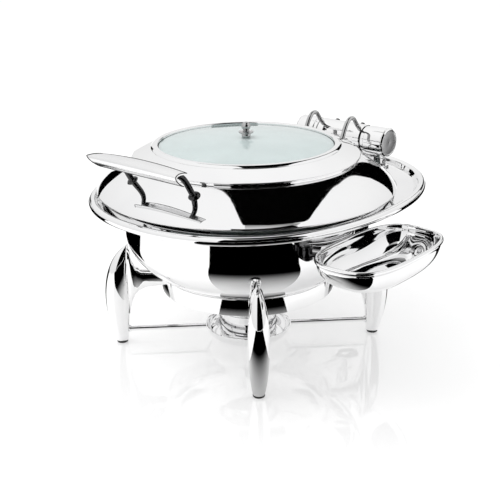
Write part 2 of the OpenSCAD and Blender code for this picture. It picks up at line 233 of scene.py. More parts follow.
def plate(outline, z0, z1, bevel=0.5):
    """A flat plate with its edges eased."""
    middle = Vector((sum(p[0] for p in outline), sum(p[1] for p in outline))) / len(outline)

    def inset(p, d):
        v = Vector(p) - middle
        return middle + v * (1 - d / v.length)

    rings = []
    for z, d in ((z0, bevel), (z0 + bevel, 0), (z1 - bevel, 0), (z1, bevel)):
        rings.append([(*inset(p, d), z) for p in outline])
    return skin(rings)


def spun(shape, degrees):
    """A shape turned about the bowl's axis."""
    c, s = math.cos(math.radians(degrees)), math.sin(math.radians(degrees))
    return [(x * c - y * s, x * s + y * c, z) for x, y, z in shape[0]], shape[1]


def piece(name, shape, body, stuff, cad=(), crease=34):
    """A visible piece that rides on a body and takes the place of CAD nodes."""
    bm = bmesh.new()
    corners = [bm.verts.new(at(*p)) for p in shape[0]]
    for f in shape[1]:
        bm.faces.new([corners[i] for i in f])
    bmesh.ops.remove_doubles(bm, verts=bm.verts[:], dist=3e-6)
    bmesh.ops.dissolve_degenerate(bm, edges=bm.edges[:], dist=1e-6)
    bmesh.ops.recalc_face_normals(bm, faces=bm.faces[:])
    for f in bm.faces:
        f.smooth = True
    for e in bm.edges:
        e.smooth = len(e.link_faces) == 2 and e.calc_face_angle(0) < math.radians(crease)
    mesh = bpy.data.meshes.new(name)
    bm.to_mesh(mesh)
    bm.free()
    mesh.materials.append(stuff)
    obj = bpy.data.objects.new(name, mesh)
    bpy.context.scene.collection.objects.link(obj)
    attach(obj, body)
    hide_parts(*cad)


# ---- materials ----

def material(name):
    m = bpy.data.materials.new(name)
    m.use_nodes = True
    nodes, links = m.node_tree.nodes, m.node_tree.links
    return m, nodes, links, nodes["Principled BSDF"]


def noise(nodes, links, scale, detail=3, stretch=None):
    """Grain fixed to the object."""
    where = nodes.new("ShaderNodeTexCoord")
    grain = nodes.new("ShaderNodeTexNoise")
    grain.inputs["Scale"].default_value = scale
    grain.inputs["Detail"].default_value = detail
    if stretch:
        place = nodes.new("ShaderNodeMapping")
        place.inputs["Scale"].default_value = stretch
        links.new(where.outputs["Object"], place.inputs["Vector"])
        links.new(place.outputs["Vector"], grain.inputs["Vector"])
    else:
        links.new(where.outputs["Object"], grain.inputs["Vector"])
    return grain.outputs["Fac"]


def spread(nodes, links, source, low, high):
    """A value from 0 to 1 moved to another range."""
    r = nodes.new("ShaderNodeMapRange")
    r.inputs["To Min"].default_value = low
    r.inputs["To Max"].default_value = high
    links.new(source, r.inputs["Value"])
    return r.outputs["Result"]


def bump(nodes, links, source, shader, height):
    b = nodes.new("ShaderNodeBump")
    b.inputs["Strength"].default_value = 1.0
    b.inputs["Distance"].default_value = height
    links.new(source, b.inputs["Height"])
    links.new(b.outputs["Normal"], shader.inputs["Normal"])


def tinted(nodes, links, source, shader, low, high):
    """Base colour that drifts a little between two tones."""
    mix = nodes.new("ShaderNodeValToRGB")
    mix.color_ramp.elements[0].color = (*low, 1)
    mix.color_ramp.elements[0].position = 0.35
    mix.color_ramp.elements[1].color = (*high, 1)
    mix.color_ramp.elements[1].position = 0.65
    links.new(source, mix.inputs["Fac"])
    links.new(mix.outputs["Color"], shader.inputs["Base Color"])


def steel(name, low, high, rough, grain=420, wave=0.0, stretch=None):
    """Metal with fine polishing marks in its roughness and a faint drift of tone."""
    m, nodes, links, shader = material(name)
    shader.inputs["Metallic"].default_value = 1
    tinted(nodes, links, noise(nodes, links, 9, 2), shader, low, high)
    marks = noise(nodes, links, grain, 4, stretch)
    links.new(spread(nodes, links, marks, rough[0], rough[1]), shader.inputs["Roughness"])
    if wave:
        bump(nodes, links, marks, shader, wave)
    return m


def rubber(name, low, high, rough, grain, height):
    """Rubber with a fine moulded grain."""
    m, nodes, links, shader = material(name)
    spots = noise(nodes, links, grain, 3)
    tinted(nodes, links, spots, shader, low, high)
    links.new(spread(nodes, links, spots, rough[0], rough[1]), shader.inputs["Roughness"])
    bump(nodes, links, spots, shader, height)
    return m


def clear_glass(name):
    """Lightly tinted safety glass with faint surface haze."""
    m, nodes, links, shader = material(name)
    shader.inputs["Transmission Weight"].default_value = 0.30
    shader.inputs["IOR"].default_value = 1.5
    tinted(nodes, links, noise(nodes, links, 14, 2), shader, (0.66, 0.755, 0.75), (0.69, 0.78, 0.775))
    haze = noise(nodes, links, 60, 3)
    links.new(spread(nodes, links, haze, 0.02, 0.07), shader.inputs["Roughness"])
    return m


POLISHED = (0.90, 0.90, 0.905), (0.94, 0.94, 0.94)
MIRROR = steel("mirror_steel", *POLISHED, (0.015, 0.05))
SHEET = steel("mirror_sheet", *POLISHED, (0.015, 0.055), 160)
SATIN = steel("satin_pan", (0.62, 0.62, 0.63), (0.70, 0.70, 0.70), (0.22, 0.34), 900, 0.00002, (1, 1, 14))
GREY = steel("grey_cap", (0.46, 0.46, 0.465), (0.50, 0.50, 0.505), (0.30, 0.42), 700, 0.00002)
DARK = steel("dark_fastener", (0.06, 0.06, 0.062), (0.10, 0.10, 0.10), (0.22, 0.35), 600)
# Polished steel made near-black: the dark tone is painted reflection of dark surroundings, used on the handle
# posts and flanges, the grip's edge bead and the tray's knuckle and fork.
SHADE = steel("steel_painted_dark_reflection", (0.045, 0.045, 0.047), (0.08, 0.08, 0.08), (0.06, 0.12))
# Polished steel made mid-grey: the grey tone is painted reflection of dark surroundings, used on the knob and
# the hinge arms.
DUSK = steel("steel_painted_grey_reflection", (0.46, 0.46, 0.465), (0.54, 0.54, 0.54), (0.04, 0.10))
PEARL = steel("satin_chrome", (0.84, 0.84, 0.845), (0.89, 0.89, 0.89), (0.16, 0.24), 500)
BRONZE = steel("bush_bronze", (0.55, 0.38, 0.18), (0.63, 0.45, 0.22), (0.25, 0.38), 500)
RUBBER = rubber("black_rubber", (0.010, 0.010, 0.010), (0.022, 0.022, 0.022), (0.45, 0.7), 900, 0.00008)
GLASS = clear_glass("lid_glass_clear")


# ---- stand ----

def blade():
    """A leg: a long horn with a round front, its side outline as in the CAD."""
    outer = curve((187, LEG_TOP), (236, 132), (229, 55), (211.5, LEG_LOW), 60)
    inner = [(z, r) for r, z in curve((192, LEG_LOW), (186, 60), (180.5, 120), (185.8, LEG_TOP), 80)]
    half = [(z, r) for r, z in curve((8.4, LEG_LOW), (15, 30), (LEG_W / 2 + 7.6, 130), (0.5, LEG_TOP), 80)]
    rings = []
    for r_out, z in outer:
        r_in = linear(inner, z)
        w = min(linear(half, z), (r_out - r_in) * 0.62)
        middle = r_out - w
        back = middle - r_in
        rings.append([(middle + (w if math.cos(a) > 0 else back) * math.cos(a), w * math.sin(a), z)
                      for a in (math.tau * k / 48 for k in range(48))])
    return skin(rings[::-1])


def leg_arm():
    """The web that runs from the blade in to the ring."""
    start = RING_R - 0.5
    top = [(start, 119.5), (150, 120), (166, 121), (174, 126), (180, 138), (184.5, 156), (189, 161)]
    low = [(start, 96), (150, 95.2), (160, 93.6), (170, 89.4), (177, 82.6), (182, 72), (185.5, 58), (189, 42)]
    width = [(RING_R, 8.2), (165, 8.4), (182, 10), (189, 9)]
    rings = []
    for i in range(25):
        r = start + (188 - RING_R) * (i / 24) ** 0.8
        z1, z0 = blend(top, r), blend(low, r)
        half, middle, rise = blend(width, r), (z0 + z1) / 2, (z1 - z0) / 2
        rings.append([(r, half * power(math.cos(a), 0.42), middle + rise * power(math.sin(a), 0.42))
                      for a in (math.tau * k / 28 for k in range(28))])
    return skin(rings)


def stand():
    inside, top = RING_R - 3, RING_Z + RING_H
    ring = soften([(inside, RING_Z), (RING_R, RING_Z), (RING_R, top), (inside, top)], 0.9)
    piece("stand_ring_band", turned(ring), "base", SHEET, ["stand_ring"])
    for i, angle in enumerate(LEG_ANGLES, 1):
        leg = spun(join(blade(), leg_arm()), angle)
        piece(f"leg_{i}_horn", leg, "base", MIRROR, [f"leg_{i}"], 50)
        pad = soften([(0, 0), (7.6, 0), (8.8, 1.2), (8.8, 4.2), (0, 4.2)], 0.5)
        foot = turned(pad, (FOOT_AT, 0, 0), n=40)
        piece(f"foot_{i}_pad", spun(foot, angle), "base", RUBBER, [f"foot_{i}"])
        rod = tube([(66.5 + 124.7 * k / 8, 0, ROD_Z) for k in range(9)], ROD_R, 24)
        collar = turned(soften([(0, 0), (5.6, 0), (5.6, 3), (0, 3)], 0.6), (187.6, 0, ROD_Z), (1, 0, 0), 32)
        piece(f"burner_rod_{i}_bar", spun(join(rod, collar), angle), "base", MIRROR,
              [f"burner_rod_{i}"])


def burner():
    rim = [(0, 6), (20, 6)] + arc(48, 26, 20, -90, -12, 12) + [(68.3, 23.6), (68.5, 25.5), (67.3, 25.5)]
    rim += arc(48, 26, 18.5, -6, -90, 12) + [(20, 7.4), (0, 7.4)]
    piece("burner_dish_bowl", turned(rim), "base", SHEET, ["burner_dish"])
    r = FUEL_R + WALL
    low = 7.6
    top = low + FUEL_DEPTH + 2
    cup = soften([(0, low), (r, low), (r, 14), (r - 0.6, 15), (r - 0.6, 17), (r, 18), (r, top - 3),
                  (r + 0.9, top - 1.6), (r + 0.9, top), (FUEL_R, top), (FUEL_R, low + 2), (0, low + 2)], 0.5)
    piece("fuel_cup_body", turned(cup, n=96), "base", SHEET, ["fuel_cup"])


# ---- bowl and brim ----

def bowl_line(r, depth, n=40):
    angles = [math.radians(20 + 70 * i / n) for i in range(n + 1)]
    return [(r * math.sin(a), BOWL_Z - depth * math.cos(a)) for a in angles]


def bowl():
    outside, inside = bowl_line(BOWL_R, BOWL_DEPTH), bowl_line(BOWL_R - WALL, BOWL_DEPTH - WALL)
    line = [(0, outside[0][1])] + outside + [(BOWL_R, LEDGE - 1.6), (BOWL_R - WALL, LEDGE - 1.6)]
    line += inside[::-1] + [(0, inside[0][1])]
    piece("bowl_body", turned(line, n=192), "base", SHEET, ["bowl_shell"])

    wall = [(0, 180)] + arc(PAN_R - 16, 194, 14, -90, 0, 12) + [(PAN_R - 2, LEDGE - THIN_WALL)]
    flange = PAN_R + 9
    wall += arc(flange - 1.6, LEDGE + 1.2, 1.4, -80, 95, 8) + arc(PAN_R - 1, LEDGE + 0.2, 2.2, 95, 180, 5)
    wall += arc(PAN_R - 16, 194, 14 - THIN_WALL, 0, -90, 12) + [(0, 180 + THIN_WALL)]
    piece("food_pan_body", turned(wall, n=160), "base", SATIN, ["food_pan"])


def brim():
    """A ledge round the bowl, a gutter that widens to an oval, and a rolled edge. Each point of the section
    has a radius, whether it is on the oval, a step outwards and a height."""
    r, z = BOWL_R + 1, LEDGE
    top = [(PAN_R + 2, False, 0, z), (r - 2, False, 0, z), (r, False, 0, z - 0.1)]
    top += [(r, False, *p) for p in curve((1.6, z - 0.4), (5, z - 2), (7, z - 4.5), (12, z - 4.5), 8)]
    top += [(r, True, *p) for p in curve((-12, z - 4.5), (-9, z - 4.5), (-8, z - 2), (-6.4, z + 1), 8)]
    bead = [(r, True, *p) for p in arc(1.5, BRIM_Z - 1.5, BEAD - 1.5, 160, -164, 36)]
    low = [(r, True, -7, z - 2), (r, True, -9, z - 5), (r, True, -12, z - 6), (r, False, 12, z - 6),
           (r, False, 7, z - 4.4), (r, False, 3, z - 2.4), (r, False, 0, z - 1.6),
           (PAN_R + 2, False, 0, z - 1.6)]
    rings = []
    for radius, on_oval, step, height in top + bead + low:
        ring = []
        for t in (math.tau * i / 216 for i in range(216)):
            if on_oval:
                x, y, nx, ny = oval(BRIM_X, BRIM_Y, 2.2, t)
                y += BRIM_BACK
            else:
                nx, ny = math.cos(t), math.sin(t)
                x, y = radius * nx, radius * ny
            ring.append((x + nx * step, y + ny * step, height))
        rings.append(ring)
    piece("brim_sheet", skin(rings, loop=True), "base", SHEET, ["brim"], 60)


def braces():
    """The two posts under the back of the brim, each with an arm to the stand's ring."""
    height = LEDGE - 5.6 - BRACE_Z
    for side, name in ((-1, "left"), (1, "right")):
        place = (side * BRACE_X, BRACE_Y, BRACE_Z)
        foot = soften([(0, 0), (24, 0), (25, 1.4), (25, 3.6), (24, 5), (0, 5)], 0.8)
        post = soften([(0, 4), (11, 4), (11, 26), (13.5, 28), (13.5, height), (0, height)], 0.8)
        start, end = Vector((side * 26, 128, BRACE_Z + 12)), Vector(place) + Vector((0, 0, 12))
        start += (end - start).normalized() * 5
        arm = tube([start.lerp(end, k / 6) for k in range(7)], 6, 24)
        shape = join(turned(foot, place, n=64), turned(post, place, n=64), arm)
        piece(f"brace_{name}_post", shape, "base", MIRROR, [f"brace_{name}"])


# ---- hinge ----

def flip(outline, side):
    """An outline along the hinge, mirrored for the left end."""
    return outline if side > 0 else [(r, -x) for r, x in outline]


def hinge_fixed():
    """The tube ends with their caps, the brackets, their bolts and the axle."""
    inner, mouth = BARREL_HALF + 2, TUBE_HALF - 4
    bore, thin = AXLE_R + 2 * BORE_GAP, TUBE_R - THIN_WALL
    for side, name in ((-1, "left"), (1, "right")):
        line = soften([(bore, inner), (thin, inner), (thin, inner + 6), (TUBE_R, inner + 7), (TUBE_R, mouth),
                       (TUBE_R - 2, mouth), (TUBE_R - 2, inner + 14), (bore, inner + 14)], 0.4)
        piece(f"hinge_tube_{name}_body", turned(flip(line, side), HINGE, ACROSS, 96), "base", MIRROR,
              [f"hinge_tube_{name}"])
        rim = soften([(TUBE_R - 4.2, mouth), (TUBE_R, mouth), (TUBE_R, TUBE_HALF - 2.6),
                      (TUBE_R - 2.2, TUBE_HALF), (TUBE_R - 3.6, TUBE_HALF),
                      (TUBE_R - 4.2, TUBE_HALF - 0.8)], 0.4)
        piece(f"hinge_cap_{name}_rim", turned(flip(rim, side), HINGE, ACROSS, 96), "base", MIRROR)
        disc = soften([(0, TUBE_HALF - 6), (TUBE_R - 2.2, TUBE_HALF - 6), (TUBE_R - 2.2, mouth),
                       (TUBE_R - 4.3, TUBE_HALF - 3.6), (TUBE_R - 4.3, TUBE_HALF - 1),
                       (0, TUBE_HALF - 0.7)], 0.3)
        piece(f"hinge_cap_{name}_disc", turned(flip(disc, side), HINGE, ACROSS, 96), "base", GREY,
              [f"hinge_cap_{name}"])
        x = side * BRACKET_X
        foot = block((x - 9, HINGE_Y - 15, LEDGE - 4.4), (x + 9, HINGE_Y + 15, LEDGE - 0.4), 0.9)
        neck = block((x - 7, HINGE_Y - 9, LEDGE - 1), (x + 7, HINGE_Y + 9, HINGE_Z - 18), 1.4)
        saddle = block((x - 10, HINGE_Y - 15, HINGE_Z - 24), (x + 10, HINGE_Y + 15, HINGE_Z - 17.5), 1.2)
        piece(f"hinge_bracket_{name}_body", join(foot, neck, saddle), "base", MIRROR,
              [f"hinge_bracket_{name}"])
    bolts = []
    for side in (-1, 1):
        for step in (-1, 1):
            head = soften([(0, 0), (2.4, 0), (2.4, 1.6), (1.9, 2.2), (0.9, 2.2), (0.9, 1.4), (0, 1.4)], 0.25)
            bolts.append(turned(head, (side * BRACKET_X, HINGE_Y + step * 12, LEDGE - 0.5), n=24))
    piece("bracket_bolt_heads", join(*bolts), "base", DARK, ["bracket_bolts"])
    end = TUBE_HALF - 10
    bar = soften([(0, -end), (AXLE_R, -end), (AXLE_R, end), (0, end)], 0.8)
    piece("hinge_axle_bar", turned(bar, HINGE, ACROSS, 64), "base", DARK, ["hinge_axle"])


def around_hinge(r, degrees):
    a = math.radians(degrees)
    return HINGE_Y + r * math.cos(a), HINGE_Z + r * math.sin(a)


def barrel_radius(x, degrees):
    """The barrel's radius, with the long recess between the arms."""
    away = abs(degrees - RECESS_AT)
    return TUBE_R if abs(x) > RECESS_HALF or away > RECESS_SPAN else TUBE_R - RECESS_DEEP


def barrel():
    half = [BARREL_HALF, BARREL_HALF - 0.8, RECESS_HALF + 0.4, RECESS_HALF, RECESS_HALF - 0.4, 10]
    rings = []
    for x in [-x for x in half] + half[::-1]:
        ring = []
        for degrees in range(0, 360, 3):
            r = barrel_radius(x, degrees)
            if abs(x) == RECESS_HALF:
                r = (r + TUBE_R) / 2
            if abs(x) == BARREL_HALF:
                r -= 0.7
            ring.append((x, *around_hinge(r, degrees)))
        rings.append(ring)
    for x in (BARREL_HALF, -BARREL_HALF):
        rings.append([(x, *around_hinge(AXLE_R + 2.5, degrees)) for degrees in range(0, 360, 3)])
    return skin(rings, loop=True)


def hinge_turning():
    """The barrel with its bushes, and the arms, collars and screws that join it to the lid."""
    piece("hinge_barrel_body", barrel(), "lid", MIRROR, ["hinge_barrel"], 25)
    for side, name in ((-1, "left"), (1, "right")):
        bore, outside = AXLE_R + BORE_GAP, AXLE_R + 2.5
        sleeve = soften([(bore, 28), (outside, 28), (outside, BARREL_HALF), (bore, BARREL_HALF)], 0.3)
        piece(f"hinge_bush_{name}_sleeve", turned(flip(sleeve, side), HINGE, ACROSS, 64), "lid", BRONZE,
              [f"hinge_bush_{name}"])
        x = side * ARM_X
        rise = curve((190.6, 284.8), (199, 303), (205, 324.6), (219, 324.6), 16)
        fall = curve((219, 324.6), (230, 324.6), (232, 312), (243.6, 303.6), 16)
        path = [(x, y, z) for y, z in rise + fall[1:]]
        # The arms are mid-grey steel: their grey tone is painted reflection of dark surroundings.
        piece(f"hinge_arm_{name}_rod", tube(path, ARM_R, 24), "lid", DUSK, [f"hinge_arm_{name}"], 60)
        start, end = Vector((x, 188.4, 281.2)), Vector((x, 192.6, 288.4))
        cup = soften([(0, 0), (7.8, 0), (7.8, 4), (5.2, 7.4), (0, 7.4)], 1.0)
        piece(f"arm_foot_{name}_collar", turned(cup, start, end - start, 40), "lid", MIRROR,
              [f"arm_foot_{name}"])
        lean = math.radians(38.7)
        out = Vector((0, math.sin(lean), math.cos(lean)))
        head = soften([(0, -0.6), (4.2, -0.6), (4.2, 2.2), (3, 3.6), (1.7, 3.8), (1.5, 2.2), (0, 2.2)], 0.4)
        base = Vector((side * 26, HINGE_Y, HINGE_Z)) + out * TUBE_R
        piece(f"hinge_screw_{name}_head", turned(head, base, out, 32), "lid", DARK,
              [f"hinge_screw_{name}"])


# ---- lid ----

def dome_line(inset=0.0):
    line = curve((LID_R, LID_Z + 3), (LID_R - 8, LID_Z + 13.6), (204, 280), (CROWN_R - 3, CROWN_Z - 5), 48)
    return [(r - inset, z - inset) for r, z in line]


def dome():
    """The dome with its satin hem."""
    hem = arc(LID_R - 2, LID_Z + 2.2, 2, -100, 20, 10)
    hem += [(LID_R - 0.5, LID_Z + 3.6), (LID_R - 4, LID_Z + 3.6), (LID_R - 4, LID_Z + 0.6)]
    piece("lid_dome_hem", turned(hem, n=224), "lid", PEARL, crease=40)
    line = dome_line() + [(CROWN_R - 3, CROWN_Z - 3), (CROWN_R - 4.6, CROWN_Z - 3)]
    line += dome_line(THIN_WALL)[:1:-1] + [(LID_R - 2.4, LID_Z + 3)]
    piece("lid_dome_shell", turned(line, n=224), "lid", SHEET, ["lid_dome"], 40)


def crown():
    r, z, seat = CROWN_R, CROWN_Z, GLASS_R + 1
    lip = [(r - 4.6, z - 3), (r - 1.2, z - 3)] + arc(r - 1.6, z - 1.4, 1.6, -60, 50, 6)
    top = curve((r - 0.9, z), (r - 9, z + 4.2), (154, z + 8.6), (144, GLASS_Z), 28)
    inner = [(seat, GLASS_Z - 1), (seat, GLASS_Z - 3.4), (144, GLASS_Z - 3.4)]
    under = curve((146, GLASS_Z - 4), (156, z + 6), (164, z + 3), (r - 4.6, z - 1), 20)
    piece("lid_crown_ring", turned(lip + top + inner + under, n=224), "lid", SHEET, ["lid_crown"], 40)


def glass():
    """The pane with its hoop and seal."""
    g, z = GLASS_R, GLASS_Z
    hoop = [(g + 1, z - 1), (143.6, z - 0.3), (143.5, z + 0.4), (143, z + 1.0), (141.2, z + 2.4),
            (139.6, z + 3.6), (138.8, z + 3.95), (137.6, z + 4)]
    hoop += arc(g + 3.2, z + 2, 2.0, 80, 180, 8)
    piece("glass_hoop", turned(hoop, n=224), "lid", MIRROR, ["glass_ring"], 40)
    seal = [(g - 6, z - 5.2), (g + 1, z - 5.2), (g + 1, z - 0.2), (g + 0.1, z - 0.2), (g + 0.1, z - 4.2),
            (g - 6, z - 4.2)]
    piece("glass_seal", turned(soften(seal, 0.3), n=160), "lid", RUBBER, ["glass_gasket"])

    # A slice of a ball, from the seat in to a 3.5 mm hole for the knob's stud
    ball_r = (g * g + GLASS_RISE * GLASS_RISE) / (2 * GLASS_RISE)
    middle = z + GLASS_RISE - ball_r
    edge, hole = 90 - math.degrees(math.asin(g / ball_r)), 89.77
    pane = arc(0, middle, ball_r, edge, hole, 30) + arc(0, middle, ball_r - 4, hole, edge, 30)
    piece("lid_glass_pane", turned(pane, n=192), "lid", GLASS, ["lid_glass"], 40)


def knob():
    peak = GLASS_Z + GLASS_RISE
    stem = [(0, peak - 3.9), (3.1, peak - 3.9), (3.1, peak), (4.6, peak)]
    stem += arc(0, peak + 3.4, 6.8, -29, 28, 10)
    stem += [(4.2, peak + 6.9), (8, peak + 7.1)] + arc(10, peak + 8.4, 1.3, -80, 80, 6)
    stem += [(6.5, peak + 10.1), (4.4, peak + 11.2)] + arc(0, peak + 17.2, 6.8, -48, 90, 18)
    # The knob is mid-grey steel: its grey tone is painted reflection of dark surroundings.
    piece("knob_turned", turned(stem, n=72), "lid", DUSK, ["knob"], 40)
    washer = soften([(3.3, peak - 5.4), (8, peak - 5.4), (8, peak - 4.1), (3.3, peak - 4.1)], 0.3)
    nut = soften([(3.2, peak - 7.4), (5.6, peak - 7.4), (5.6, peak - 5.4), (3.2, peak - 5.4)], 0.3)
    shape = join(turned(washer, n=48), turned(nut, n=6))
    piece("knob_nut_set", shape, "lid", DARK, ["knob_nut"])


# ---- handle ----

def grip():
    """A curved sheet, bent over a nose that faces the guest. The left end is drawn out to a point, the
    right one to a shallow fishtail."""
    n, steps, thick = 28, 60, 2.6
    rings = []
    for j in range(steps, -steps - 1, -1):
        s = math.sin(math.radians(90 * j / steps))
        m = 1 - s * s
        edge = [Vector(p) for p in curve((-215 + 2 * m, 334 + 3 * m), (-228, 337 + 2 * m), (-243, 331),
                                         (-221.7, 317), n)]
        outer, inner = [], []
        for i, p in enumerate(edge):
            t = i / n
            bow = abs(2 * t - 1)
            half = GRIP_HALF + (9 - 17 * bow if s < 0 else 3.5 * bow * bow - 2)
            v = (edge[min(i + 1, n)] - edge[max(i - 1, 0)]).normalized()
            ease = 0.3 if i in (0, n) else 0
            for side, deep in ((outer, ease), (inner, thick - ease)):
                side.append((s * half, p.x - v.y * deep, p.y + v.x * deep))
        rings.append(outer + inner[::-1])
    piece("handle_grip_sheet", skin(rings), "lid", PEARL, ["handle_grip"], 50)
    # A thin bead round the whole edge of the sheet, in near-black steel: painted shade that draws the sheet's
    # dark outline.
    last = len(rings) - 1
    hem = [rings[j][0] for j in range(last)] + rings[last][:n] + [rings[last - j][n] for j in range(last)]
    hem += rings[0][n:0:-1]
    piece("handle_grip_painted_shade_edge", tube(hem + hem[:1], 0.7, 8), "lid", SHADE)


def handle():
    grip()
    for side, name in ((-1, "left"), (1, "right")):
        x = side * POST_X
        path = curve((x, -175.2, 285.8), (x, -184, 297.5), (x, -187, 306), (x, -194.5, 315), 12)
        path += curve((x, -194.5, 315), (x, -202, 324), (x, -211, 327.6), (x, -227.5, 327.4), 14)[1:]
        # The posts and their flanges are near-black steel: their dark tone is painted reflection of dark
        # surroundings.
        piece(f"handle_post_{name}_rod", tube(path, POST_R, 24), "lid", SHADE, [f"handle_post_{name}"])
        start, end = Vector((x, -174.4, 284.6)), Vector((x, -180.4, 292.8))
        cup = soften([(0, 0), (9.2, 0), (9.5, 4.4), (7.6, 7.4), (5, 9.6), (0, 9.6)], 1.2)
        piece(f"handle_flange_{name}_cup", turned(cup, start, end - start, 48), "lid", SHADE,
              [f"handle_flange_{name}"])


# ---- spoon tray ----

def tray_dish():
    a, b, roll = TRAY_A - 3, TRAY_B - 3, 3
    steps = [90, 82, 74, 66, 58, 51, 44, 37, 31, 25, 19, 14, 9, 5]

    def share(t):
        return math.cos(math.radians(t * 0.94)) ** 0.72

    def drop(t, depth):
        return -depth * math.sin(math.radians(t)) ** 0.9

    line = [(share(t), 0, drop(t, TRAY_DEPTH)) for t in steps]
    line += [(1, *p) for p in arc(0, 0, roll, -130, 155, 19)]
    line += [(share(t) - 1.6 / a, 0, drop(t, TRAY_DEPTH - WALL)) for t in steps[::-1]]
    rings = []
    for part, step, z in line:
        ring = []
        for t in (math.tau * i / 144 for i in range(144)):
            x, y, nx, ny = oval(a, b, 3, t)
            ring.append((TRAY_X + x * part + nx * step, y * part + ny * step - TRAY_FRONT, TRAY_Z + z))
        rings.append(ring)
    piece("spoon_tray_dish", skin(rings), "tray", SHEET, ["spoon_tray"], 60)


def tray_hinge():
    """The knuckle on the tray, its pin and the fork on the bowl."""
    px, py = PIVOT
    z, pin_r = TRAY_Z, 2.5
    bore = pin_r + BORE_GAP
    eye = soften([(bore, z - 6), (7.4, z - 6), (7.4, z + 4), (bore, z + 4)], 0.6)
    lug_way = math.radians(17)
    c, s = math.cos(lug_way), math.sin(lug_way)
    points, faces = block((3.5, -5, z - 5), (17.5, 5, z), 0.9)
    lug = [(px + x * c - y * s, py + x * s + y * c, height) for x, y, height in points], faces
    shape = join(turned(eye, (px, py, 0), n=48), lug)
    # The knuckle is near-black steel: its dark tone is painted reflection of dark surroundings.
    piece("tray_knuckle_eye", shape, "tray", SHADE, ["tray_knuckle"])

    pin = soften([(0, -12.4), (4.5, -12.4), (4.5, -10.4), (pin_r, -10.4), (pin_r, 8.4), (4.5, 8.4), (4.2, 10),
                  (0, 10.4)], 0.3)
    piece("tray_pin_shaft", turned(pin, (px, py, z), n=40), "base", DARK, ["tray_pin"])

    reach = math.hypot(px, py)
    ear = [(BOWL_R, 8), (BOWL_R, -8), (reach, -8)]
    ear += [(reach + p, q) for p, q in arc(0, 0, 8, -80, 80, 16)] + [(reach, 8)]
    back = block((BOWL_R - 0.6, -8, z - 10.4), (BOWL_R + 3.4, 8, z + 8.4), 0.8)
    fork = join(back, plate(ear, z - 10.4, z - 6.4), plate(ear, z + 4.4, z + 8.4))
    angle = math.degrees(math.atan2(py, px))
    # The fork is near-black steel: its dark tone is painted reflection of dark surroundings.
    piece("tray_bracket_fork", spun(fork, angle), "base", SHADE, ["tray_bracket"])


# ---- studio ----

def stage_material(name, colour, glow=0.0, rough=0.5, gloss=0.0):
    m, nodes, links, shader = material(name)
    shader.inputs["Base Color"].default_value = (*colour, 1)
    shader.inputs["Roughness"].default_value = rough
    shader.inputs["Specular IOR Level"].default_value = gloss
    shader.inputs["Emission Color"].default_value = (1, 1, 1, 1)
    shader.inputs["Emission Strength"].default_value = glow
    return m


def stage_mesh(name, points, faces, stuff):
    mesh = bpy.data.meshes.new(name)
    mesh.from_pydata(points, [], faces)
    mesh.materials.append(stuff)
    obj = bpy.data.objects.new(name, mesh)
    bpy.context.scene.collection.objects.link(obj)
    return obj


def distance(nodes, links, point, near, far):
    """A smooth step from 0 to 1 between two distances in metres from a point."""
    where = nodes.new("ShaderNodeTexCoord")
    away = nodes.new("ShaderNodeVectorMath")
    away.operation = "DISTANCE"
    links.new(where.outputs["Object"], away.inputs[0])
    away.inputs[1].default_value = point
    level = nodes.new("ShaderNodeMapRange")
    level.interpolation_type = "SMOOTHSTEP"
    level.inputs["From Min"].default_value = near
    level.inputs["From Max"].default_value = far
    links.new(away.outputs["Value"], level.inputs["Value"])
    return level


def smooth_rows(rows, n):
    """Rows of points run through by a Catmull-Rom curve."""
    out = []
    last = len(rows) - 1
    for i in range(last):
        p0, p1, p2, p3 = (rows[max(0, min(last, k))] for k in (i - 1, i, i + 1, i + 2))
        for j in range(n):
            t = j / n
            w = (-t ** 3 + 2 * t * t - t, 3 * t ** 3 - 5 * t * t + 2,
                 -3 * t ** 3 + 4 * t * t + t, t ** 3 - t * t)
            out.append([sum(k * p[m] for k, p in zip(w, (p0, p1, p2, p3))) / 2 for m in range(len(p1))])
    return out + [list(rows[-1])]


def fade_floor(stuff):
    """The floor's mirror fades away from the object."""
    nodes, links = stuff.node_tree.nodes, stuff.node_tree.links
    level = distance(nodes, links, at(0, 0, 0), 0.34, 0.62)
    level.inputs["To Min"].default_value = 0.8
    level.inputs["To Max"].default_value = 0.0
    links.new(level.outputs["Result"], nodes["Principled BSDF"].inputs["Specular IOR Level"])


def hidden_mesh(name, points, faces, stuff):
    """A card shows in polished metal and nowhere else."""
    obj = stage_mesh(name, points, faces, stuff)
    obj.visible_camera = obj.visible_diffuse = obj.visible_shadow = obj.visible_transmission = False


def card(name, rows, stuff, away=1.0):
    """A card overhead. Each row is its left and right edge, in degrees out from straight up: x goes to the
    camera's right and y towards the camera."""
    n, r, lowest = 12, STUDIO_R * away, 91.5
    points = []
    steps = smooth_rows(rows, 6)
    for x0, y0, x1, y1 in steps:
        for j in range(n + 1):
            x, y = x0 + (x1 - x0) * j / n, y0 + (y1 - y0) * j / n
            low = math.radians(min(math.hypot(x, y), lowest))
            a = CAMERA_AZ + math.atan2(x, y)
            points.append(at(r * math.sin(low) * math.sin(a), -r * math.sin(low) * math.cos(a),
                             r * math.cos(low) + 200))
    faces = [[i * (n + 1) + j, (i + 1) * (n + 1) + j, (i + 1) * (n + 1) + j + 1, i * (n + 1) + j + 1]
             for i in range(len(steps) - 1) for j in range(n)]
    hidden_mesh(name, points, faces, stuff)


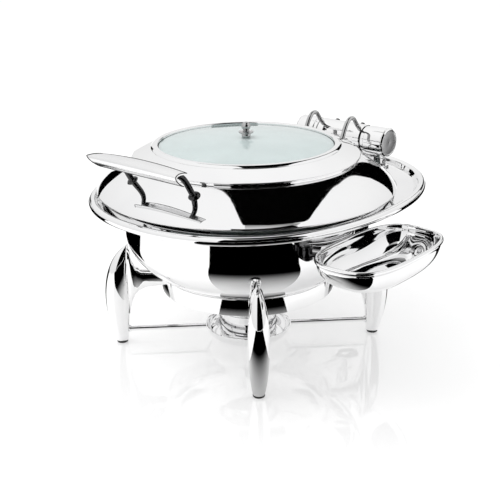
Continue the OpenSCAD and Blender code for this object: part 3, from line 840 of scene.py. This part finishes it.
def floor_card(name, az, near, far, stuff):
    """A sector just over the floor, between two directions from the camera's, in degrees."""
    n = 24
    points = []
    for i in range(n + 1):
        a = CAMERA_AZ + math.radians(az[0] + (az[1] - az[0]) * i / n)
        points += [at(r * math.sin(a), -r * math.cos(a), FLOOR_CARD_Z) for r in (near, far)]
    hidden_mesh(name, points, [[2 * i, 2 * i + 1, 2 * i + 3, 2 * i + 2] for i in range(n)], stuff)


def soft_black(name, start, full):
    """Black that fades away towards the object and isn't seen from underneath."""
    m, nodes, links, shader = material(name)
    shader.inputs["Base Color"].default_value = (0, 0, 0, 1)
    shader.inputs["Roughness"].default_value = 1
    shader.inputs["Specular IOR Level"].default_value = 0
    fade = distance(nodes, links, at(0, 0, FLOOR_CARD_Z), start, full)
    side = nodes.new("ShaderNodeNewGeometry")
    front = nodes.new("ShaderNodeMath")
    front.operation = "SUBTRACT"
    front.use_clamp = True
    links.new(fade.outputs["Result"], front.inputs[0])
    links.new(side.outputs["Backfacing"], front.inputs[1])
    links.new(front.outputs["Value"], shader.inputs["Alpha"])
    return m


def sky():
    """An even white sky, a little darker near the horizon and brighter where the camera sees it."""
    world = bpy.data.worlds.new("studio")
    bpy.context.scene.world = world
    world.use_nodes = True
    nodes, links = world.node_tree.nodes, world.node_tree.links
    light = nodes["Background"]
    light.inputs["Color"].default_value = (1, 1, 1, 1)
    where = nodes.new("ShaderNodeTexCoord")
    parts = nodes.new("ShaderNodeSeparateXYZ")
    links.new(where.outputs["Generated"], parts.inputs["Vector"])
    height = nodes.new("ShaderNodeMapRange")
    height.inputs["From Min"].default_value = 0.0
    height.inputs["From Max"].default_value = 0.8
    height.inputs["To Min"].default_value = 0.84
    height.inputs["To Max"].default_value = 1.0
    links.new(parts.outputs["Z"], height.inputs["Value"])
    path = nodes.new("ShaderNodeLightPath")
    seen = nodes.new("ShaderNodeMath")
    seen.operation = "MULTIPLY_ADD"
    seen.inputs[1].default_value = 0.4
    links.new(path.outputs["Is Camera Ray"], seen.inputs[0])
    links.new(height.outputs["Result"], seen.inputs[2])
    links.new(seen.outputs["Value"], light.inputs["Strength"])


def floor():
    base = stage_material("floor_gloss", (0.66, 0.66, 0.66), 0.39, 0.03, 0.5)
    fade_floor(base)
    far, low = 30000, -0.2
    corners = [at(x, y, low) for x, y in ((-far, -far), (far, -far), (far, far), (-far, far))]
    stage_mesh("floor", corners, [[0, 1, 2, 3]], base)


def cards():
    """Black and grey cards that give the polished metal its bands."""
    black = stage_material("black_card", (0, 0, 0), 0, 1)
    card("card_overhead", [(-2, 21.5, 12, 21.9), (-2.3, 19.5, 18.5, 19.6), (-2.6, 17, 24, 17),
                           (-2.9, 14, 28, 14), (-3.2, 10, 29.4, 10), (-3.8, 4, 29, 4),
                           (-4.3, 0, 28.4, 0), (-5.2, -5, 28, -5), (-6.4, -8.5, 28, -8.8),
                           (-7, -15, 28.2, -12), (-3, -16, 28.3, -14), (6, -17, 28.6, -16.5),
                           (13, -18.6, 29.2, -19.5), (19, -22.6, 30.2, -24), (24, -28, 31.4, -28.5),
                           (27.5, -33, 33, -33.5), (30.6, -40, 34.4, -40.5), (32.6, -48, 35.8, -49),
                           (34, -57, 38, -57.5)], black)
    card("card_back_right", [(34, -57, 38, -57.5), (33.8, -60.5, 44, -61), (33.2, -64, 62, -61),
                             (32, -70, 70, -56), (30, -79, 78, -46), (28, -88, 84, -34)], black)
    card("card_back_left", [(-50, -67.5, -33.9, -69), (-60, -67, -32, -76), (-68, -60, -30, -84),
                            (-78, -48, -28.5, -90)], black)
    card("card_top_left", [(-6, -8, -5, -16), (-9, -11.4, -9, -17), (-13, -14, -13, -18.4),
                           (-17, -16.8, -17, -20), (-20.5, -19.6, -20.5, -22), (-23, -21.6, -24, -23)], black)
    greys = ((19, 23.5, 0.28), (23.5, 26, 0.40), (26, 29, 0.52), (29, 33, 0.64))
    for i, (y0, y1, glow) in enumerate(greys):
        strip = stage_material(f"grey_card_{i + 1}", (0, 0, 0), glow, 1)
        rows = [(-1, y1, 27, y1 - 1.5), (-1.5, y0 - 0.3, 28, y0 - 1.8)]
        card(f"card_end_{i + 1}", rows, strip, 1.02 + 0.01 * i)
    fan = [(math.sin(math.radians(a)), math.cos(math.radians(a))) for a in range(-16, 49, 4)]
    card("card_front", [(32.5 * x, 32.5 * y, 91.4 * x, 91.4 * y) for x, y in fan], black)
    shade = soft_black("black_floor_card", 0.08, 0.37)
    floor_card("card_floor_front", (-30, 41), 60, 6000, shade)
    side_shade = soft_black("black_floor_side_card", 0.20, 0.32)
    floor_card("card_floor_left", (-152, -104), 60, 4000, side_shade)
    floor_card("card_floor_right", (105, 150), 60, 4000, side_shade)


def lamp():
    """A soft key light from above, on the camera's left, that doesn't show in the metal."""
    key = bpy.data.lights.new("key", "AREA")
    key.energy = 18
    key.size = 1.6
    obj = bpy.data.objects.new("key", key)
    bpy.context.scene.collection.objects.link(obj)
    obj.visible_glossy = False
    obj.location = at(-900, -700, 2100)
    obj.rotation_euler = (at(0, 0, 200) - obj.location).to_track_quat("-Z", "Y").to_euler()


def camera():
    """The photograph's view: turned a little off the axis, with a slight roll."""
    data = bpy.data.cameras.new("camera")
    data.sensor_width = 36
    data.lens = 69.4
    data.clip_end = 200
    cam = bpy.data.objects.new("camera", data)
    bpy.context.scene.collection.objects.link(cam)
    cam.location = at(931.5, -1068.9, 665.6)
    yaw, roll = CAMERA_AZ - 0.0028, -0.0107
    down = math.radians(20.06)
    look = Vector((-math.sin(yaw) * math.cos(down), math.cos(yaw) * math.cos(down), -math.sin(down)))
    turn = look.to_track_quat("-Z", "Y").to_matrix().to_4x4() @ Matrix.Rotation(roll, 4, "Z")
    cam.rotation_euler = turn.to_euler()
    bpy.context.scene.camera = cam


camera()
stand()
burner()
bowl()
brim()
braces()
hinge_fixed()
hinge_turning()
dome()
crown()
glass()
knob()
handle()
tray_dish()
tray_hinge()
sky()
floor()
cards()
lamp()
bpy.context.scene.view_settings.view_transform = "Standard"
